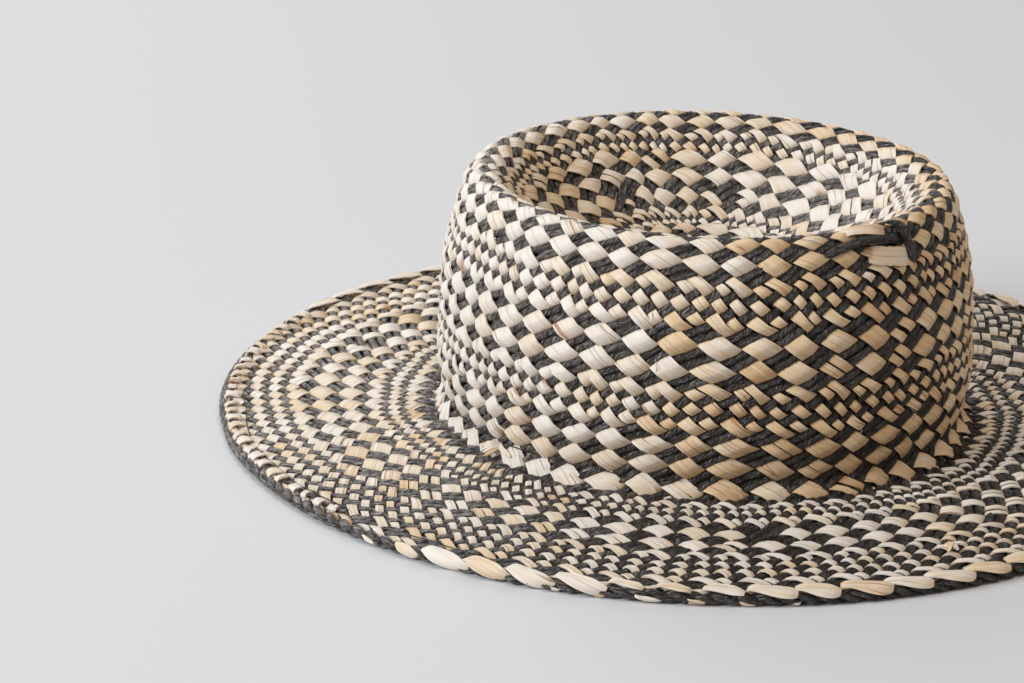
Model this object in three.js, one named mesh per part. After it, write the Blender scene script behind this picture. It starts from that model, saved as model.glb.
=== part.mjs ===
// A woven straw hat: a round crown with a dished tip, and a wide flat brim with a plaited edge.
// Millimetres. +Z is up, +X is towards the front of the head, and the hat rests on the plane z = 0.
import * as THREE from 'three';

// Driving dimensions
const CROWN_LENGTH = 202; // outside of the crown at its widest line, front to back
const CROWN_WIDTH = 182; // the same, from ear to ear
const CROWN_RISE = 92.6; // from the brim at the crown's foot to the crest of the rim
const CREST_INSET = 16; // the crest lies this far inside the widest line
const FOOT_INSET = 3; // and so does the foot, where the wall is pinched in a little
const DISH_DEPTH = 34; // from the crest down to the middle of the dished tip
const BRIM_WIDTH = 82.8; // from the crown's widest line to the outside of the plaited edge
const BRIM_LIFT = 1.5; // underside of the brim above the table
const BRIM_DIP = 0.6; // the brim lies this much lower at the crown's foot
const WEAVE = 2.5; // thickness of the woven wall
const EDGE_WIDTH = 4.2; // the plaited edge, measured outwards
const EDGE_PROUD = 0.8; // the edge stands this much above the brim
const GAP = 0.3; // clearance between neighbouring pieces
const STEPS_AROUND = 72;

// The dished tip, from its middle out to the crest.
// out: share of the crest's radius. down: share of DISH_DEPTH below the crest.
const DISH = [
  { out: 0, down: 1 },
  { out: 0.25, down: 0.97 },
  { out: 0.5, down: 0.853 },
  { out: 0.72, down: 0.56 },
  { out: 0.85, down: 0.25 },
  { out: 0.93, down: 0.074 },
];

// The side wall, from the crest down to the foot.
// up: share of CROWN_RISE. crest, foot: shares of CREST_INSET and FOOT_INSET that the wall lies in.
const WALL = [
  { up: 1, crest: 1, foot: 0 },
  { up: 0.987, crest: 0.79, foot: 0 },
  { up: 0.952, crest: 0.64, foot: 0 },
  { up: 0.892, crest: 0.525, foot: 0 },
  { up: 0.806, crest: 0.35, foot: 0 },
  { up: 0.719, crest: 0.24, foot: 0 },
  { up: 0.633, crest: 0.16, foot: 0 },
  { up: 0.449, crest: 0.06, foot: 0 },
  { up: 0.266, crest: 0.01, foot: 0.05 },
  { up: 0.114, crest: 0, foot: 0.4 },
  { up: 0.017, crest: 0, foot: 1 },
];

// The brim's height along its way out. out: share of its span. dip: share of BRIM_DIP.
const BRIM = [
  { out: 0, dip: 1 },
  { out: 0.25, dip: 0.15 },
  { out: 0.5, dip: 0 },
  { out: 1, dip: 0 },
];

// The section of the plaited edge. out, up: shares of its width and height.
const EDGE = [
  { out: 0.2, up: 0 },
  { out: 0.8, up: 0 },
  { out: 1, up: 0.25 },
  { out: 1, up: 0.7 },
  { out: 0.75, up: 1 },
  { out: 0.25, up: 1 },
  { out: 0, up: 0.7 },
  { out: 0, up: 0.25 },
];

// Sizes that follow. A radius is that of the mean circle, before it is stretched to the head's oval.
const widestRadius = (CROWN_LENGTH + CROWN_WIDTH) / 4;
const ovalStretch = (CROWN_LENGTH - CROWN_WIDTH) / 4;
const crestRadius = widestRadius - CREST_INSET;
const footRadius = widestRadius - FOOT_INSET;
const brimTop = BRIM_LIFT + WEAVE;
const footTop = brimTop - BRIM_DIP;
const footBottom = BRIM_LIFT - BRIM_DIP;
const crestHeight = footTop + CROWN_RISE;
const edgeOuter = widestRadius + BRIM_WIDTH;
const edgeInner = edgeOuter - EDGE_WIDTH;
const edgeHeight = brimTop + EDGE_PROUD;

const strawLight = new THREE.MeshStandardMaterial({ color: 0xe3d2b4, roughness: 0.75, metalness: 0 });
const strawMixed = new THREE.MeshStandardMaterial({ color: 0xa8967d, roughness: 0.8, metalness: 0 });
const strawDark = new THREE.MeshStandardMaterial({ color: 0x4a4647, roughness: 0.85, metalness: 0 });

// Turns a closed profile of (radius, height) about Z, then stretches the circles to the head's oval.
// Inside the crest the stretch dies away towards the axis, so the dish keeps the crest's shape.
function ovalLathe(profile) {
  const geometry = new THREE.LatheGeometry(profile, STEPS_AROUND).rotateX(Math.PI / 2);
  const position = geometry.getAttribute('position');
  for (let i = 0; i < position.count; i++) {
    const x = position.getX(i);
    const y = position.getY(i);
    const stretch = ovalStretch / Math.max(Math.hypot(x, y), crestRadius);
    position.setXY(i, x * (1 + stretch), y * (1 - stretch));
  }
  geometry.computeVertexNormals();
  return geometry;
}

// The profile moved inwards by the wall's thickness, square to itself.
function innerProfile(outer) {
  return outer.map((point, i) => {
    const before = outer[Math.max(i - 1, 0)];
    const after = outer[Math.min(i + 1, outer.length - 1)];
    const along = new THREE.Vector2().subVectors(after, before).normalize();
    const inwards = new THREE.Vector2(along.y, -along.x).multiplyScalar(WEAVE);
    return new THREE.Vector2(Math.max(point.x + inwards.x, 0), point.y + inwards.y);
  });
}

// The crown's outer surface from the middle of the tip, over the crest and down to the foot.
function crownOutside() {
  const dish = DISH.map((row) => new THREE.Vector2(row.out * crestRadius, crestHeight - row.down * DISH_DEPTH));
  const wall = WALL.map((row) => {
    const inset = row.crest * CREST_INSET + row.foot * FOOT_INSET;
    return new THREE.Vector2(widestRadius - inset, footTop + row.up * CROWN_RISE);
  });
  return [...dish, ...wall, new THREE.Vector2(footRadius, footBottom)];
}

// One stretch of the crown as a closed loop: its outside rows and, back again, its inside rows.
// At the crest, where the tip meets the side, both stop half a gap short of each other.
function crownStretch(first, last) {
  const outside = crownOutside();
  const inside = innerProfile(outside);
  inside[0].x = 0;
  inside.at(-1).y = footBottom;
  const shift = (GAP / 2) * (first === 0 ? -1 : 1);
  for (const rows of [outside, inside]) {
    rows[DISH.length].x = crestRadius + shift;
  }
  return [...outside.slice(first, last + 1), ...inside.slice(first, last + 1).reverse()].reverse();
}

function crownTipGeometry() {
  return ovalLathe(crownStretch(0, DISH.length));
}

function crownSideGeometry() {
  const loop = crownStretch(DISH.length, DISH.length + WALL.length);
  return ovalLathe([...loop, loop[0].clone()]);
}

function brimGeometry() {
  const inner = footRadius + GAP;
  const span = edgeInner - GAP - inner;
  const top = BRIM.map((row) => new THREE.Vector2(inner + row.out * span, brimTop - row.dip * BRIM_DIP));
  const under = top.map((point) => new THREE.Vector2(point.x, point.y - WEAVE));
  const loop = [...under, ...top.reverse()];
  return ovalLathe([...loop, loop[0].clone()]);
}

function edgeGeometry() {
  const loop = EDGE.map((row) => new THREE.Vector2(edgeInner + row.out * EDGE_WIDTH, row.up * edgeHeight));
  return ovalLathe([...loop, loop[0].clone()]);
}

function piece(name, geometry, material) {
  const mesh = new THREE.Mesh(geometry, material);
  mesh.name = name;
  return mesh;
}

const hat = new THREE.Group();
hat.add(piece('crown_tip', crownTipGeometry(), strawLight));
hat.add(piece('crown_side', crownSideGeometry(), strawLight));
hat.add(piece('brim', brimGeometry(), strawMixed));
hat.add(piece('brim_edge', edgeGeometry(), strawDark));

export default hat;
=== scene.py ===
# %% [markdown]
# A hand-woven hat
#
# The real hat is woven from two kinds of straw: flat natural strips, and dark straw that is twisted into
# thin cords. The strips run one way round the hat, the cords run the other way, and they cross in pairs.
# A frame of plain solids gives the true shape and size. This lesson loads the frame, lays every strip and
# cord over it, finishes the edge with a plait, and then gives each kind of straw its material.
#
# A weave could also be painted on a smooth shell with bump. Seen this close, though, the strips stand
# proud, cast shadows and break the outline, so here each strip and each cord is real geometry.

# %% Load the frame
import math

import bpy
import numpy as np
from mathutils import Matrix, Vector


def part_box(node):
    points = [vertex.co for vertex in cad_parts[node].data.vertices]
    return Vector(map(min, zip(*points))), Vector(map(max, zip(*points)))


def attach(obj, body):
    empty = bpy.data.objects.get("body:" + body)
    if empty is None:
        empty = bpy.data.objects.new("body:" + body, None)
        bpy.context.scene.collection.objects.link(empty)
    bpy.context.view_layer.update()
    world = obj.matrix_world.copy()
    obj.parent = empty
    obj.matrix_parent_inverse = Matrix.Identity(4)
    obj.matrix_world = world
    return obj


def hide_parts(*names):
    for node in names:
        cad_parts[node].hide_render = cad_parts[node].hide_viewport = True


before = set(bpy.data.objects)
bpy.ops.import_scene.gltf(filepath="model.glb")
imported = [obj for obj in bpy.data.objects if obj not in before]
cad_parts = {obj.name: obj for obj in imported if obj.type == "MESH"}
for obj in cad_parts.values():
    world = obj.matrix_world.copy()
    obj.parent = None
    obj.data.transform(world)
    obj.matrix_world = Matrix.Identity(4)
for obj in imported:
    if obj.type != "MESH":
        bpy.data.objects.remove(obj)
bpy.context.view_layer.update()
MM = 0.001
print("frame nodes:", sorted(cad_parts))

# %% [markdown]
# The camera
#
# The picture was taken with a long lens, from a little above the brim. A long lens keeps the far side of
# the crown nearly as wide as the near side. The camera is placed by the point that it aims at, how far
# round and how high it stands, and the pixel that the point lands on in a picture of 1024 by 683.

# %% Place the camera
PICTURE = (1024, 683)
TARGET = Vector((0.0, 0.0, 0.050))
TARGET_PIXEL = (703.27, 281.19)
AZIMUTH, ELEVATION, ROLL = 7.64, 20.04, 2.01
CAMERA_DISTANCE = 1.2769
FOCAL_PIXELS = 3388.6
SENSOR_WIDTH = 36.0


def turned(first, second, angle):
    """Two directions at right angles, both turned by the angle, the first towards the second."""
    cosine, sine = math.cos(angle), math.sin(angle)
    return first * cosine + second * sine, second * cosine - first * sine


azimuth, elevation = math.radians(AZIMUTH), math.radians(ELEVATION)
back = Vector((math.sin(azimuth) * math.cos(elevation), -math.cos(azimuth) * math.cos(elevation),
               math.sin(elevation)))
eye = TARGET + back * CAMERA_DISTANCE
forward = -back
right = forward.cross(Vector((0, 0, 1))).normalized()
up = right.cross(forward)
forward, right = turned(forward, right, -math.atan2(TARGET_PIXEL[0] - PICTURE[0] / 2, FOCAL_PIXELS))
forward, up = turned(forward, up, math.atan2(TARGET_PIXEL[1] - PICTURE[1] / 2, FOCAL_PIXELS))
right, up = turned(right, up, math.radians(ROLL))

camera = bpy.data.objects.new("camera", bpy.data.cameras.new("camera"))
bpy.context.scene.collection.objects.link(camera)
camera.matrix_world = Matrix.Translation(eye) @ Matrix((right, up, -forward)).transposed().to_4x4()
camera.data.sensor_width = SENSOR_WIDTH
camera.data.lens = FOCAL_PIXELS / PICTURE[0] * SENSOR_WIDTH
bpy.context.scene.camera = camera
print("lens in mm:", round(camera.data.lens, 1))

# %% [markdown]
# The surface that carries the weave
#
# Seen from above, the crown is a round oval, and every level of the hat keeps that oval. So one line from
# the middle of the tip, over the rim, down the wall and out across the brim tells the whole shape. The
# line has a length of its own, measured from the rim's crest: that length and the angle round the hat are
# the two numbers that place everything below. The frame's own meshes could be sampled instead, but their
# flat facets would show in the weave. The sizes come from the frame's boxes, in millimetres.

# %% Sizes from the frame
tip_low, tip_high = (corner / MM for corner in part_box("crown_tip"))
side_low, side_high = (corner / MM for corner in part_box("crown_side"))
brim_low, brim_high = (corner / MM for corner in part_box("brim"))
edge_low, edge_high = (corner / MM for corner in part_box("brim_edge"))

WALL_THICKNESS = 2.5
BRIM_DIP = 0.6
widest_radius = (side_high.x + side_high.y) / 2
oval_stretch = (side_high.x - side_high.y) / 2
crest_radius = (tip_high.x + tip_high.y) / 2
crest_height = side_high.z
dish_depth = crest_height - tip_low.z - WALL_THICKNESS
brim_top = brim_high.z
foot_top = brim_top - BRIM_DIP
edge_radius = (edge_high.x + edge_high.y) / 2
crest_inset = widest_radius - crest_radius
crown_rise = crest_height - foot_top
FOOT_INSET = 3.0

# %% The line from the middle of the tip to the edge of the brim
# out: share of the crest's radius. down: share of the dish's depth.
DISH = [(0, 1), (0.25, 0.97), (0.5, 0.853), (0.72, 0.56), (0.85, 0.25), (0.93, 0.074)]
# up: share of the crown's rise. inset: share of the crest's inset. foot: share of the foot's inset.
WALL = [
    (1, 1, 0), (0.987, 0.79, 0), (0.952, 0.64, 0), (0.892, 0.525, 0), (0.806, 0.35, 0), (0.719, 0.24, 0),
    (0.633, 0.16, 0), (0.449, 0.06, 0), (0.266, 0.01, 0.05), (0.125, 0, 0.6), (0.06, 0, 1),
]
# out: share of the brim's width. dip: share of the dip at the crown's foot.
BRIM = [(0, -1), (0.04, 0.2), (0.1, 1), (0.3, 0.15), (0.5, 0), (1, 0)]


def smooth(knots, values, at):
    """A smooth line through the values, which never swings past them."""
    gap = np.diff(knots)
    slope = np.diff(values) / gap
    rising = slope[:-1] * slope[1:] > 0
    tangent = np.zeros(len(knots))
    tangent[0], tangent[-1] = slope[0], slope[-1]
    before, after = slope[:-1][rising], slope[1:][rising]
    tangent[1:-1][rising] = 2 * before * after / (before + after)
    cell = np.clip(np.searchsorted(knots, at) - 1, 0, len(gap) - 1)
    u = (at - knots[cell]) / gap[cell]
    near = values[cell] * (1 + 2 * u) * (1 - u) ** 2 + values[cell + 1] * u * u * (3 - 2 * u)
    return near + gap[cell] * (tangent[cell] * u * (1 - u) ** 2 + tangent[cell + 1] * u * u * (u - 1))


dish_rows = [(out * crest_radius, crest_height - down * dish_depth) for out, down in DISH]
wall_rows = [(widest_radius - inset * crest_inset - foot * FOOT_INSET, foot_top + rise * crown_rise)
             for rise, inset, foot in WALL]
brim_rows = [(widest_radius + out * (edge_radius - widest_radius), brim_top - dip * BRIM_DIP)
             for out, dip in BRIM]
profile_rows = np.array(dish_rows + wall_rows + brim_rows)
row_places = np.r_[0, np.cumsum(np.hypot(*np.diff(profile_rows, axis=0).T))]
LINE_STEPS = 2400
line_places = np.linspace(0, row_places[-1], LINE_STEPS)
line_radius = smooth(row_places, profile_rows[:, 0], line_places)
line_height = smooth(row_places, profile_rows[:, 1], line_places)
line_arc = np.r_[0, np.cumsum(np.hypot(np.diff(line_radius), np.diff(line_height)))]
line_arc -= np.interp(row_places[len(dish_rows)], line_places, line_arc)
print("middle of the tip at", round(line_arc[0], 1), "mm, edge at", round(line_arc[-1], 1), "mm")

# %% A point and a direction on the surface


def radius_at(arc):
    return np.interp(arc, line_arc, line_radius)


def surface(theta, arc):
    """Points on the outside of the hat. theta is the angle round it, arc the length along the line."""
    radius = radius_at(arc)
    stretch = oval_stretch / np.maximum(radius, crest_radius)
    height = np.interp(arc, line_arc, line_height)
    return np.stack([radius * (1 + stretch) * np.cos(theta), radius * (1 - stretch) * np.sin(theta), height],
                    axis=-1)


def unit(vectors):
    return vectors / np.linalg.norm(vectors, axis=-1, keepdims=True)


def outward(theta, arc):
    """The direction square to the surface, away from the head."""
    STEP = 1.6
    arc = np.clip(arc, line_arc[0] + 2 * STEP, line_arc[-1] - STEP)
    turn = STEP / radius_at(arc)
    along = surface(theta, arc + STEP) - surface(theta, arc - STEP)
    around = surface(theta + turn, arc) - surface(theta - turn, arc)
    return unit(np.cross(along, around))


# %% [markdown]
# The weave's net
#
# Strips and cords make a net of slanting lines. Each crossing has a row, counted outwards, and in each row
# the crossings stand side by side. A strip moves half a column to one side with each row, and a cord moves
# half a column to the other. Towards the brim the hat grows wider, so the real weaver adds new strips and
# cords: here the net is made in zones, each with its own number of columns, and the ends of one zone are
# tucked under the next. A table gives the place of some rows, and the rest lie evenly between them.

# %% The zones of the net
# columns: how many strips the zone has, and as many cords. first, last: the rows that they cross.
# rows: row number and its place along the line, in millimetres from the rim's crest.
# checks: the rows woven one over one, from and to. All others are woven two over two.
# swapped_from: from this row on, strips and cords change places in the two over two weave.
# sunk_from: from this row on, the strips lie under the cords at the left of the crown's foot.
# sinks: a place along the line, and how much lower the weave lies there, in millimetres.
ZONES = {
    "crown": {
        "columns": 88, "first": -21, "last": 32, "checks": [(-22, -18), (-2, 2), (14, 18)], "sunk_from": 31,
        "sinks": [(97, 0), (99.5, 1.2), (102, 3.2), (105, 3.6)],
        "rows": [(-24, -28), (-22, -22), (-20, -17), (-18, -11.4), (-14, -4.9), (-10, 2.9), (-6, 10.5),
                 (-2, 18.6), (0, 24.6), (2, 31), (6, 39.8), (10, 49), (14, 57.3), (16, 63.6), (18, 69.3),
                 (22, 78), (26, 87), (28, 91.6), (30, 96.1), (32, 100.3), (34, 104.4)],
    },
    "brim": {
        "columns": 140, "first": -6, "last": 24, "checks": [(-2, 2), (14, 20)], "swapped_from": 21,
        "sinks": [(95, 3.2), (98, 2.4), (101, 0)],
        "rows": [(-8, 92), (-6, 96.3), (-4, 101.2), (-2, 106.8), (0, 113), (2, 119.8), (6, 129.5), (10, 139),
                 (14, 148), (16, 154), (18, 160), (20, 166.5), (22, 171.5), (24, 175.5), (26, 179)],
    },
    "tip": {
        "columns": 64, "first": -1, "last": 15, "checks": [(-2, 2)],
        "rows": [(-4, -66), (-2, -61), (0, -56.4), (2, -50), (6, -39.5), (10, -29.5), (14, -22), (16, -17.5),
                 (18, -13)],
    },
    "tip_inner": {
        "columns": 32, "first": -6, "last": -1, "checks": [],
        "rows": [(-11, -83), (-1, -58.5), (1, -54)],
    },
    "tip_middle": {
        "columns": 16, "first": -5, "last": -1, "checks": [],
        "rows": [(-8, -87), (-1, -70.5), (1, -66)],
    },
    "tip_heart": {
        "columns": 8, "first": -3, "last": -1, "checks": [],
        "rows": [(-5, -88), (-1, -78), (1, -73)],
    },
}


def step_round(zone):
    return 2 * math.pi / zone["columns"]


# %% How wide strips and cords are round the hat
# A strip woven one over one is this much narrower.
CHECK_WIDTH = 0.80
# By angle, as shares of the room that each has: the strips, and the cords. On the left of the picture the
# strips fill their room, on the right they are slimmer and the cords are thick.
WIDTHS = {
    "crown": [(-215, 1.12, 0.78), (-115, 1.16, 0.76), (-88, 1.08, 0.82), (-62, 0.84, 1.05), (-20, 0.75, 1.08),
              (40, 1.06, 0.78), (145, 1.12, 0.78)],
    "brim": [(-215, 1.18, 0.70), (-150, 1.14, 0.72), (-115, 0.77, 1.0), (-80, 0.69, 1.05), (-20, 0.66, 1.08),
             (60, 0.86, 0.90), (145, 1.18, 0.70)],
    "inside": [(-215, 0.84, 1.02), (-150, 0.88, 1.0), (-90, 0.98, 0.88), (-20, 1.06, 0.80), (40, 1.04, 0.80),
               (90, 0.94, 0.90), (145, 0.84, 1.02)],
}
print("width tables:", sorted(WIDTHS))


def round_table(rows, theta, column=1):
    """A value from a table whose rows begin with an angle from -215 to 145 degrees."""
    rows = np.array(rows, float)
    return np.interp((np.degrees(theta) + 215) % 360 - 215, rows[:, 0], rows[:, column])


def how_inside(arc):
    """0 on the outside of the hat and 1 inside the rim, with a soft change at the crest."""
    return np.clip((-2 - arc) / 8, 0, 1)


def width_shares(zone_name, theta, arc):
    """The share of its room that a strip fills, and the share that a cord fills."""
    inside = how_inside(arc)
    outer = WIDTHS.get(zone_name, WIDTHS["crown"])
    return [round_table(outer, theta, column) * (1 - inside)
            + round_table(WIDTHS["inside"], theta, column) * inside for column in (1, 2)]


# %% [markdown]
# What isn't quite even
#
# Hands pull one strip tighter than the next. Rows drift up and down a little round the hat, columns lean,
# and a strip is here and there missed, which leaves a dark patch. The drift is the same for all that
# crosses at one place, or the weave would fall apart. Moving each strip by itself would be simpler, but
# then strips and cords would miss each other, so the drift is a slow wave over the whole surface.

# %% Slow waves and named drifts
WAVES = [(3, 0.021, 0.4), (5, -0.034, 2.1), (8, 0.055, 4.0), (13, -0.083, 1.2), (21, 0.12, 5.3)]
ROW_SWAY = 0.35
COLUMN_SWAY = 0.5
# Three times round the hat the columns grow wide and narrow again, by this much in millimetres.
WIDE_COLUMNS = (3, -62, 2.2)
# The columns lean: the place along the line, and how far round the net has turned there, in degrees.
LEAN = [(-28, 4.3), (100, -9.8)]
# The angle and place in the middle of each drift, how far it reaches, and how far the rows move.
DRIFTS = [(-60, 114, 26, 10, -4.5), (-115, 116, 18, 8, 1.5), (180, 168, 55, 22, 6.5), (-50, 60, 22, 30, 1.6)]


def turn_between(theta, degrees):
    """How far theta is from a named angle, in degrees, the short way round."""
    return (np.degrees(theta) - degrees + 180) % 360 - 180


def hump(distance, reach):
    return np.exp(-(distance / reach) ** 2)


def leaning(arc):
    return np.radians(np.interp(arc, *np.array(LEAN, float).T))


def swayed(theta, arc):
    """Where a place on the even net really lies, on the hand-made one."""
    rows, columns = np.zeros_like(theta), np.zeros_like(theta)
    for turns, rise, phase in WAVES:
        rows = rows + np.sin(turns * theta + rise * arc + phase)
        columns = columns + np.sin((turns + 1) * theta - rise * arc + 2 * phase)
    shift = ROW_SWAY * rows
    for degrees, middle, reach, spread, move in DRIFTS:
        shift = shift + move * hump(turn_between(theta, degrees), reach) * hump(arc - middle, spread)
    edge_hold = np.clip((line_arc[-1] - arc) / 12, 0, 1)
    turns, widest_at, move = WIDE_COLUMNS
    columns = COLUMN_SWAY * columns + move * np.sin(turns * (theta - math.radians(widest_at)))
    return theta + leaning(arc) + columns / np.maximum(radius_at(arc), 10), arc + shift * edge_hold


def row_arc(zone, row):
    """How far along the line a row lies, before it sways."""
    places = np.array(zone["rows"], float)
    return np.interp(row, places[:, 0], places[:, 1])


# %% Which lies on top at each crossing
# The middle of the sunk strips and how far they reach to each side, in degrees.
SUNK_MIDDLE, SUNK_REACH = -162, 44
# Places where strips were missed, so that the cords lie on top: angle, place along the line, and reach.
MISSED = [(82, -39, 5), (132, -37, 5), (-184, 137, 6), (-62, 131, 6), (-38, 9, 5), (28, 140, 5)]


def strips_on_top(zone):
    """For each strip and each row, whether the strip lies on top of the cord it meets."""
    strip = np.arange(zone["columns"])[:, None]
    row = np.arange(zone["first"], zone["last"] + 1)[None, :]
    cord = strip + row
    on_top = (strip // 2 + cord // 2 + (row >= zone.get("swapped_from", math.inf))) % 2 == 1
    for first, last in zone["checks"]:
        on_top = np.where((row >= first) & (row <= last), row % 2 == 0, on_top)
    theta = (strip + row / 2) * step_round(zone)
    arc = row_arc(zone, row)
    if "sunk_from" in zone:
        degrees = turn_between(theta, SUNK_MIDDLE)
        on_top = on_top & ~((row >= zone["sunk_from"]) & (np.abs(degrees) < SUNK_REACH))
    for degrees, middle, reach in MISSED:
        sideways = np.radians(turn_between(theta, degrees)) * radius_at(middle)
        on_top = on_top & (np.hypot(sideways, arc - middle) > reach)
    return on_top


for zone_name, zone in ZONES.items():
    zone["on_top"] = strips_on_top(zone)
    print(zone_name, "crossings:", zone["on_top"].size)

# %% [markdown]
# The path of one strip or cord
#
# A strip rises over two cords and dives under the next two. Its path is a row of points: one a little
# before and one a little after each crossing, and one halfway down where it changes sides. The path is
# flat on top and steep between, which gives the strip the look of a small pillow. Cords are stiffer, so
# they rise and dive much less, and the strips do most of the bending.

# %% Work out a path
rng = np.random.default_rng(7)
STRIP_RISE = 1.85
STRIP_DIVE = 1.25
CORD_LIFT = 0.45
SHOULDER = 0.62
CROWN_OF_ARCH = 0.86
TUCK_LIFT = -1.5
# How far on a path stays high past a crossing on top, and low past one below, in rows.
STRIP_REACH = {"high": 0.45, "low": 0.20, "between": 0.14}
BRIM_REACH = {"high": 0.36, "low": 0.22, "between": 0.07}
CORD_REACH = {"high": 0.31, "low": 0.31, "between": 0.0}


def path_rows(on_top, first, reach, rounded):
    """Rows of the path's points, how high each lies from -1 to 1, and which crossing it belongs to. The
    points on the way down to a crossing belong to the one on top."""
    rows, lifts, crossings = [], [], []
    count = len(on_top)
    for crossing in range(count):
        side = 1 if on_top[crossing] else -1
        near = reach["high"] if on_top[crossing] else reach["low"]
        changes = [not 0 <= other < count or on_top[other] != on_top[crossing]
                   for other in (crossing - 1, crossing + 1)]
        row = first + crossing
        before = max(crossing - 1, 0) if changes[0] and side < 0 else crossing
        after = min(crossing + 1, count - 1) if changes[1] and side < 0 else crossing
        points = [(row - near, side * (SHOULDER if changes[0] else 1), before),
                  (row + near, side * (SHOULDER if changes[1] else 1), after)]
        if rounded and all(changes):
            points.insert(1, (row, side * CROWN_OF_ARCH, crossing))
        if changes[1] and crossing + 1 < count:
            points.append((row + 0.5 + side * reach["between"], 0.0, after))
        for place, lift, owner in points:
            rows.append(place)
            lifts.append(lift)
            crossings.append(owner)
    return np.array(rows), np.array(lifts), np.array(crossings)


# How far past its last crossing a path is tucked in, in rows, and how deep there, as a share of TUCK_LIFT.
STRIP_TUCK = [(0.75, 1.0), (0.3, 0.6)]
CORD_TUCK = [(0.75, 1.0)]


def with_tucked_ends(tuck, rows, lifts, crossings):
    """The path with both ends turned in, under what lies next to them."""
    past, deep = np.array(tuck).T
    ends = np.ones(len(tuck), int)
    rows = np.r_[rows[0] - past, rows, rows[-1] + past[::-1]]
    lifts = np.r_[TUCK_LIFT * deep, lifts, TUCK_LIFT * deep[::-1]]
    return rows, lifts, np.r_[0 * ends, crossings, crossings[-1] * ends]


# %% Lay a path on the hat
def room_and_slant(zone, side, rows):
    """The room beside a path, and its slant: how far along the path the other kind of straw runs for each
    millimetre across. side is 1 for a strip and -1 for a cord."""
    arc = row_arc(zone, rows)
    column = radius_at(arc) * step_round(zone)
    row_gap = row_arc(zone, rows + 0.5) - row_arc(zone, rows - 0.5)
    lean = radius_at(arc) * (leaning(arc + 1) - leaning(arc - 1)) / 2 * row_gap
    room = column * row_gap / np.hypot(side * column / 2 + lean, row_gap)
    return room, side * (column ** 2 / 4 - lean ** 2 - row_gap ** 2) / (column * row_gap)


def lay_path(zone, number, side, rows, lift, sideways):
    """The path's points and the directions across it and up from it. lift and sideways are in millimetres."""
    slant = room_and_slant(zone, side, rows)[1]
    theta, arc = swayed((number + side * rows / 2) * step_round(zone), row_arc(zone, rows))
    normal = outward(theta, arc)
    points = surface(theta, arc) + normal * (lift - WALL_THICKNESS / 2)[:, None]
    along = unit(np.gradient(points, axis=0))
    across = unit(np.cross(normal, along))
    points = points + (across + along * slant[:, None]) * sideways[:, None]
    along = unit(np.gradient(points, axis=0))
    across = unit(np.cross(normal, along))
    return points, across, np.cross(along, across)


def length_along(points):
    return np.r_[0, np.cumsum(np.linalg.norm(np.diff(points, axis=0), axis=1))]


# %% [markdown]
# From path to mesh
#
# Every strip and cord is a run of rings, one ring round each point of its path, joined by four-sided
# faces. All the strips of a zone become one mesh, and so do all its cords. The mesh also carries a map:
# one way round the ring and the other way along the strip, in centimetres, so that the fibres of the
# material follow every bend. A second value, tone, makes each strip a little lighter or darker, at random
# and also as painted light and shade round the hat. A bevelled curve could make a cord too, but its rings
# can't be slanted, and hundreds of curves are slow.

# %% Join rings into one mesh
def ring_points(points, across, up, section):
    """Rings round the points. section holds how far each corner lies across and up."""
    return points[:, None] + section[..., :1] * across[:, None] + section[..., 1:] * up[:, None]


def ring_run(rings, around, along, tone, closed=False):
    """One strip or cord. Its map has one value more than the ring has points, for the seam."""
    along = np.broadcast_to(along.T, around.T.shape).T
    return {"rings": rings, "around": around, "along": along, "tone": tone, "closed": closed}


def cap(first, sides):
    """Four-sided faces that close one end of a run."""
    return [[first + side, first + side + 1, first + sides - 2 - side, first + sides - 1 - side]
            for side in range(sides // 2 - 1)]


# Nothing lies lower than this above the table.
LOWEST = 0.05


def woven_piece(name, points, faces, flat_map, tones):
    """A piece from points and a map in millimetres, and a tone for each point. It alone is selected."""
    mesh = bpy.data.meshes.new(name)
    mesh.from_pydata(points * MM, [], faces)
    mesh.uv_layers.new(name="weave").data.foreach_set("uv", flat_map.ravel() / 10)
    mesh.attributes.new("tone", "FLOAT", "POINT").data.foreach_set("value", tones)
    piece = bpy.data.objects.new(name, mesh)
    bpy.context.scene.collection.objects.link(piece)
    bpy.ops.object.select_all(action="DESELECT")
    piece.select_set(True)
    bpy.context.view_layer.objects.active = piece
    return piece


def smooth_shaded(piece, crease_degrees):
    bpy.ops.object.shade_smooth_by_angle(angle=math.radians(crease_degrees))
    print(piece.name, "triangles:", sum(len(face.vertices) - 2 for face in piece.data.polygons))
    return piece


def joined_mesh(name, runs, crease_degrees):
    """All the runs as one piece."""
    points, faces, maps, tones = [], [], [], []
    start = 0
    for run in runs:
        count, sides = run["rings"].shape[:2]
        ring = np.arange(count if run["closed"] else count - 1)[:, None]
        side = np.arange(sides)[None, :]
        corners = [(ring, side), (ring, side + 1), (ring + 1, side + 1), (ring + 1, side)]
        faces.append(np.stack([start + (r % count) * sides + (s % sides) for r, s in corners], axis=-1)
                     .reshape(-1, 4))
        maps.append(np.stack([np.stack([run["around"][r, s], run["along"][r, s]], axis=-1)
                              for r, s in corners], axis=2).reshape(-1, 2))
        if not run["closed"]:
            ends = np.array([face[::-1] for face in cap(start, sides)]
                            + cap(start + (count - 1) * sides, sides))
            faces.append(ends)
            maps.append(np.zeros((ends.size, 2)))
        points.append(run["rings"].reshape(-1, 3))
        tones.append(np.repeat(run["tone"], sides))
        start += count * sides
    points = np.concatenate(points)
    points[:, 2] = np.maximum(points[:, 2], LOWEST)
    piece = woven_piece(name, points, np.concatenate(faces), np.concatenate(maps), np.concatenate(tones))
    return smooth_shaded(piece, crease_degrees)


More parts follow.
